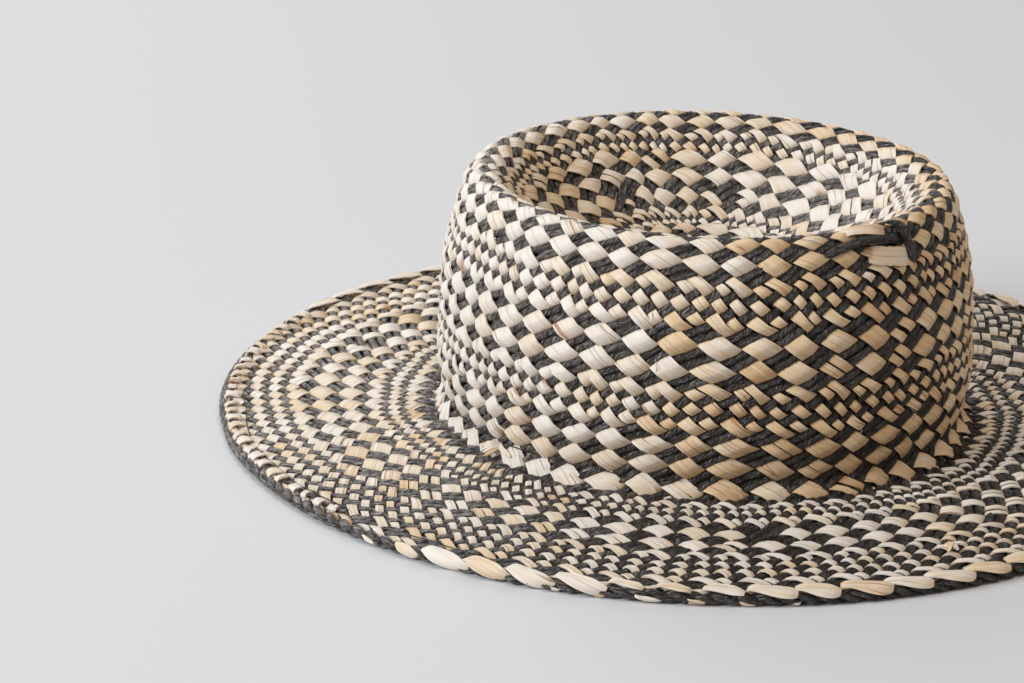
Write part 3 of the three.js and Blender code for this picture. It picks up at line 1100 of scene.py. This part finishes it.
def star_strip(number):
    """One strip straight across the middle of the tip."""
    turn = number * math.pi / STAR_STRIPS + 0.3
    reach = np.linspace(-STAR_REACH, STAR_REACH, 9)
    height = line_height[0] - WALL_THICKNESS / 2 + STAR_STEP * number + STAR_LIFT
    height = height - STAR_DIP * (reach / STAR_REACH) ** 4
    points = np.stack([reach * math.cos(turn), reach * math.sin(turn), height], axis=-1)
    upwards = np.tile([0.0, 0.0, 1.0], (len(points), 1))
    return run_along(points, upwards, np.full(len(points), STAR_HALF_WIDTH), 0.1, flat=number % 2 == 0)


natural_runs = [laid_run(knots, half_width, tone, flat=True, thin_ends=(0.75, 0.6), lumps=0.04)
                for half_width, tone, knots in BANDS]
natural_runs += frayed(TUFT_PLACE, TUFT_ENDS, (0.4, 2.9), (5.0, 10.0))
natural_runs += frayed(KNOT_PLACE, KNOT_ENDS, (0, 6.28), (2.5, 5.0))
natural_runs += [laid_run(knots, HAIR, 0.3) for knots in HAIRS]
natural_runs += [star_strip(number) for number in range(STAR_STRIPS)]
loose_natural = joined_mesh("loose_natural_ends", natural_runs, STRIP_CREASE)

# %% [markdown]
# Floor, light and sky
#
# The hat lies on a plain pale floor. The main light is soft and comes from the left and a little from the
# front, like a tall window, so the left of the crown is bright and the right falls into a warm shade. A
# weaker one at the back left lights the inside of the rim, and a third, overhead, softens the shadows.
# Small bright lamps would be simpler, but they would give every strip a hard shadow.

# %% Floor and lights
FLOOR_SIZE = 8.0
bpy.ops.object.select_all(action="DESELECT")
bpy.ops.mesh.primitive_plane_add(size=FLOOR_SIZE, location=(0, 0, 0))
floor = bpy.context.object
floor.name = "floor"
pale = bpy.data.materials.new("pale_floor")
pale.use_nodes = True
pale.node_tree.nodes["Principled BSDF"].inputs["Base Color"].default_value = (0.70, 0.695, 0.71, 1)
pale.node_tree.nodes["Principled BSDF"].inputs["Roughness"].default_value = 0.7
floor.data.materials.append(pale)


def area_light(name, place, aim, size, watts, colour):
    light = bpy.data.lights.new(name, "AREA")
    light.shape = "DISK"
    light.size = size
    light.energy = watts
    light.color = colour
    lamp = bpy.data.objects.new(name, light)
    bpy.context.scene.collection.objects.link(lamp)
    lamp.location = place
    lamp.rotation_euler = (Vector(aim) - Vector(place)).to_track_quat("-Z", "Y").to_euler()
    return lamp


area_light("window", (-3.2, -2.0, 2.1), (0, 0, 0.04), 2.7, 168, (0.85, 0.93, 1.0))
area_light("far_window", (-1.8, 3.0, 1.9), (0, 0, 0.05), 2.3, 50, (0.86, 0.94, 1.0))
area_light("ceiling", (1.0, -0.6, 3.2), (0, 0, 0.04), 2.0, 32, (1.0, 0.98, 0.96))

world = bpy.data.worlds.new("pale_room")
world.use_nodes = True
world.node_tree.nodes["Background"].inputs["Color"].default_value = (1.0, 0.86, 0.68, 1)
world.node_tree.nodes["Background"].inputs["Strength"].default_value = 0.26
bpy.context.scene.world = world
bpy.context.scene.view_settings.view_transform = "Standard"

# %% [markdown]
# Fibres in both kinds of straw
#
# Seen close, straw is a bundle of fibres that all run one way. Each strip and cord carries its own map,
# so a noise that is stretched along that map makes fibres that follow every bend. Both kinds of straw
# need it, at their own scale, so it is a node group: it gives fine fibres, broad folds, and thin lines.

# %% A node group for the fibres
def add_node(tree, kind, **values):
    node = tree.nodes.new(kind)
    for name, value in values.items():
        if hasattr(node, name):
            setattr(node, name, value)
        else:
            node.inputs[name.replace("_", " ")].default_value = value
    return node


def maths(tree, operation, first, second=None):
    """A Math node. first and second are sockets or plain numbers."""
    node = add_node(tree, "ShaderNodeMath", operation=operation)
    for socket, value in zip(node.inputs, (first, second)):
        if isinstance(value, bpy.types.NodeSocket):
            tree.links.new(value, socket)
        elif value is not None:
            socket.default_value = value
    return node.outputs[0]


def weighted(tree, parts, offset=0.0):
    """The sum of some sockets, each times its weight, and an offset."""
    total = offset
    for number, (socket, weight) in enumerate(parts):
        part = maths(tree, "MULTIPLY", socket, weight)
        total = maths(tree, "ADD", total, part) if number or offset else part
    return total


def stretched_noise(tree, vector, along_scale, across_scale, detail):
    """Noise on a map that is squeezed across the straw and stretched along it."""
    scale = add_node(tree, "ShaderNodeCombineXYZ", Z=1.0)
    tree.links.new(across_scale, scale.inputs["X"])
    tree.links.new(along_scale, scale.inputs["Y"])
    squeezed = add_node(tree, "ShaderNodeVectorMath", operation="MULTIPLY")
    tree.links.new(vector, squeezed.inputs[0])
    tree.links.new(scale.outputs[0], squeezed.inputs[1])
    noise = add_node(tree, "ShaderNodeTexNoise", Scale=1.0, Detail=detail, Roughness=0.6)
    tree.links.new(squeezed.outputs[0], noise.inputs["Vector"])
    return noise.outputs["Fac"]


def fibre_group():
    tree = bpy.data.node_groups.new("straw_fibres", "ShaderNodeTree")
    inputs = {"Map": "NodeSocketVector", "Across": "NodeSocketFloat", "Along": "NodeSocketFloat"}
    for name, kind in inputs.items():
        tree.interface.new_socket(name, in_out="INPUT", socket_type=kind)
    for name in ("Fibres", "Folds", "Lines"):
        tree.interface.new_socket(name, in_out="OUTPUT", socket_type="NodeSocketFloat")
    source = add_node(tree, "NodeGroupInput").outputs
    result = add_node(tree, "NodeGroupOutput").inputs
    fibres = stretched_noise(tree, source["Map"], source["Along"], source["Across"], 3.0)
    fold_across = maths(tree, "MULTIPLY", source["Across"], 0.3)
    fold_along = maths(tree, "MULTIPLY", source["Along"], 0.55)
    folds = stretched_noise(tree, source["Map"], fold_along, fold_across, 1.0)
    LINE_WIDTH = 0.016
    line_across = maths(tree, "MULTIPLY", source["Across"], 0.16)
    line_along = maths(tree, "MULTIPLY", source["Along"], 0.16)
    level = stretched_noise(tree, source["Map"], line_along, line_across, 0.0)
    from_middle = maths(tree, "ABSOLUTE", maths(tree, "SUBTRACT", level, 0.5))
    lines = add_node(tree, "ShaderNodeMapRange", interpolation_type="SMOOTHSTEP", From_Max=LINE_WIDTH,
                     To_Min=1.0, To_Max=0.0)
    tree.links.new(from_middle, lines.inputs["Value"])
    tree.links.new(fibres, result["Fibres"])
    tree.links.new(folds, result["Folds"])
    # The lines are broken where the folds are low.
    gaps = add_node(tree, "ShaderNodeMapRange", interpolation_type="SMOOTHSTEP",
                    From_Min=0.44, From_Max=0.58)
    tree.links.new(folds, gaps.inputs["Value"])
    broken = maths(tree, "MULTIPLY", lines.outputs["Result"], gaps.outputs["Result"])
    tree.links.new(broken, result["Lines"])
    return tree


straw_fibres = fibre_group()
print("fibre group nodes:", len(straw_fibres.nodes))


# %% [markdown]
# What both straw materials share
#
# Both kinds of straw read the same group and turn a sum of its values into a colour, from dark to pale. A
# sum of effects could be painted by hand, but nodes keep every strip different and follow its map.

# %% Shared beginnings of a straw material
def straw_material(name, across, along, roughness):
    """A material, its fibre group, which reads the piece's own map, and the tone of each strip."""
    material = bpy.data.materials.new(name)
    material.use_nodes = True
    tree = material.node_tree
    weave_map = add_node(tree, "ShaderNodeUVMap", uv_map="weave")
    fibres = add_node(tree, "ShaderNodeGroup", node_tree=straw_fibres, Across=across, Along=along)
    tree.links.new(weave_map.outputs["UV"], fibres.inputs["Map"])
    tree.nodes["Principled BSDF"].inputs["Roughness"].default_value = roughness
    tone = add_node(tree, "ShaderNodeAttribute", attribute_name="tone")
    return material, fibres, tone.outputs["Fac"]


def colour_steps(tree, factor, steps):
    ramp = add_node(tree, "ShaderNodeValToRGB")
    elements = ramp.color_ramp.elements
    while len(elements) < len(steps):
        elements.new(0.5)
    for element, (place, colour) in zip(elements, steps):
        element.position = place
        element.color = (*colour, 1)
    tree.links.new(factor, ramp.inputs["Fac"])
    return ramp.outputs["Color"]


def mixed(tree, kind, factor, first, second):
    """Two colours mixed. factor and the colours are sockets or plain values."""
    mix = add_node(tree, "ShaderNodeMix", data_type="RGBA", blend_type=kind)
    for socket, value in zip((mix.inputs[0], mix.inputs[6], mix.inputs[7]), (factor, first, second)):
        if isinstance(value, bpy.types.NodeSocket):
            tree.links.new(value, socket)
        else:
            socket.default_value = value
    return mix.outputs[2]


def add_bump(tree, height, strength, distance):
    bump = add_node(tree, "ShaderNodeBump", Strength=strength, Distance=distance)
    tree.links.new(height, bump.inputs["Height"])
    tree.links.new(bump.outputs["Normal"], tree.nodes["Principled BSDF"].inputs["Normal"])


# %% [markdown]
# Natural straw
#
# The natural strips are pale cream or tan, as the leaf varies at random, and many have thin brown lines
# along a fold or along a side. They are also painted lighter on the side of the hat that faces the light,
# and darker and browner on the shaded side and where they dive under: painted light and shade. The finish
# is matt with a slight sheen.

# %% Natural straw
NATURAL_STEPS = [(0.24, (0.60, 0.34, 0.17)), (0.44, (0.79, 0.575, 0.35)), (0.62, (0.87, 0.78, 0.695))]
BROWN_LINE = (0.42, 0.19, 0.08, 1)


def natural_straw():
    material, fibres, tone = straw_material("natural_straw", 16.0, 0.45, 0.6)
    tree = material.node_tree
    fine, folds, lines = (fibres.outputs[name] for name in ("Fibres", "Folds", "Lines"))
    # The tone brings in the painted light and shade of the strips.
    shade = weighted(tree, [(fine, 0.36), (folds, 0.28), (tone, 0.45)], 0.24)
    colour = colour_steps(tree, shade, NATURAL_STEPS)
    colour = mixed(tree, "MIX", maths(tree, "MULTIPLY", lines, 0.9), colour, BROWN_LINE)
    tree.links.new(colour, tree.nodes["Principled BSDF"].inputs["Base Color"])
    add_bump(tree, weighted(tree, [(folds, 1.0), (fine, 0.6), (lines, -0.25)]), 1.0, 0.0008)
    return material


natural = natural_straw()
print("natural straw nodes:", len(natural.node_tree.nodes))

# %% [markdown]
# Dark straw
#
# The dark cords are dyed a charcoal that is a little blue where light strikes it. The dye takes unevenly at
# random. The cords are also painted lighter where the window lights them, a painted sheen, and darker on
# the shaded side, painted shade. The crinkled fibres and the groove between the two bunches of a cord are
# bumped, and their colour is painted too: lighter on the ridges, a painted highlight, and darker in the
# grooves, painted shade. The groove is worked out from the map, which turns with the twist.

# %% Dark straw
DARK_STEPS = [(0.12, (0.003, 0.003, 0.003)), (0.45, (0.028, 0.025, 0.025)), (0.78, (0.27, 0.24, 0.225)),
              (1.0, (0.42, 0.38, 0.36))]
GIRTH_ON_MAP = 0.9
GROOVE_SHARPNESS = 9.0


def dark_straw():
    material, fibres, tone = straw_material("dark_straw", 34.0, 4.0, 0.38)
    tree = material.node_tree
    fine, folds = fibres.outputs["Fibres"], fibres.outputs["Folds"]
    weave_map = add_node(tree, "ShaderNodeUVMap", uv_map="weave")
    parts = add_node(tree, "ShaderNodeSeparateXYZ")
    tree.links.new(weave_map.outputs["UV"], parts.inputs[0])
    phase = weighted(tree, [(parts.outputs["X"], 2 * math.pi / GIRTH_ON_MAP), (folds, 5.0)])
    bunch = maths(tree, "ABSOLUTE", maths(tree, "COSINE", phase))
    from_groove = maths(tree, "ABSOLUTE", maths(tree, "SUBTRACT", folds, 0.5))
    ridge = maths(tree, "MULTIPLY", from_groove, GROOVE_SHARPNESS)
    ridge = maths(tree, "MINIMUM", maths(tree, "SQRT", ridge), 1.0)
    # Painted highlight on the ridges and the middles of the bunches, painted shade in the grooves; the tone
    # adds painted sheen and shade round the hat.
    shade = weighted(tree, [(ridge, 0.40), (bunch, 0.20), (fine, 0.6), (tone, 0.4)], -0.25)
    surface_shader = tree.nodes["Principled BSDF"]
    tree.links.new(colour_steps(tree, shade, DARK_STEPS), surface_shader.inputs["Base Color"])
    surface_shader.inputs["Specular IOR Level"].default_value = 0.85
    surface_shader.inputs["Specular Tint"].default_value = (1.0, 0.92, 0.86, 1)
    add_bump(tree, weighted(tree, [(ridge, 0.55), (bunch, 0.25), (fine, 0.2)]), 1.0, 0.0020)
    return material


dark = dark_straw()
print("dark straw nodes:", len(dark.node_tree.nodes))

# %% [markdown]
# Pieces and the frame
#
# On the real hat the strips and cords are the wall itself, so each piece here takes the place of the plain
# solids that it covers, and it moves with the hat's one body. The solids could be left in and merely
# covered, but then they would show through the gaps of the weave.

# %% Give each piece its finish and its place in the frame
NODES_OF = {"crown": ("crown_tip", "crown_side"), "brim": ("brim",), "tip": ("crown_tip",),
            "tip_inner": ("crown_tip",), "tip_middle": ("crown_tip",), "tip_heart": ("crown_tip",)}
MATERIALS = {"natural_straw": natural, "dark_straw": dark}
PIECES = [(kind[zone_name], slot, nodes) for zone_name, nodes in NODES_OF.items()
          for kind, slot in ((strips, "natural_straw"), (cords, "dark_straw"))]
PIECES += [
    (edge_cord, "dark_straw", ("brim_edge",)),
    (edge_wraps, "natural_straw", ("brim_edge",)),
    (loose_dark, "dark_straw", ("crown_side", "brim")),
    (loose_natural, "natural_straw", ("crown_tip", "crown_side", "brim")),
]
for piece, slot, nodes in PIECES:
    piece.data.materials.append(MATERIALS[slot])
    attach(piece, "root")
    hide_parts(*nodes)
print("pieces:", len(PIECES))
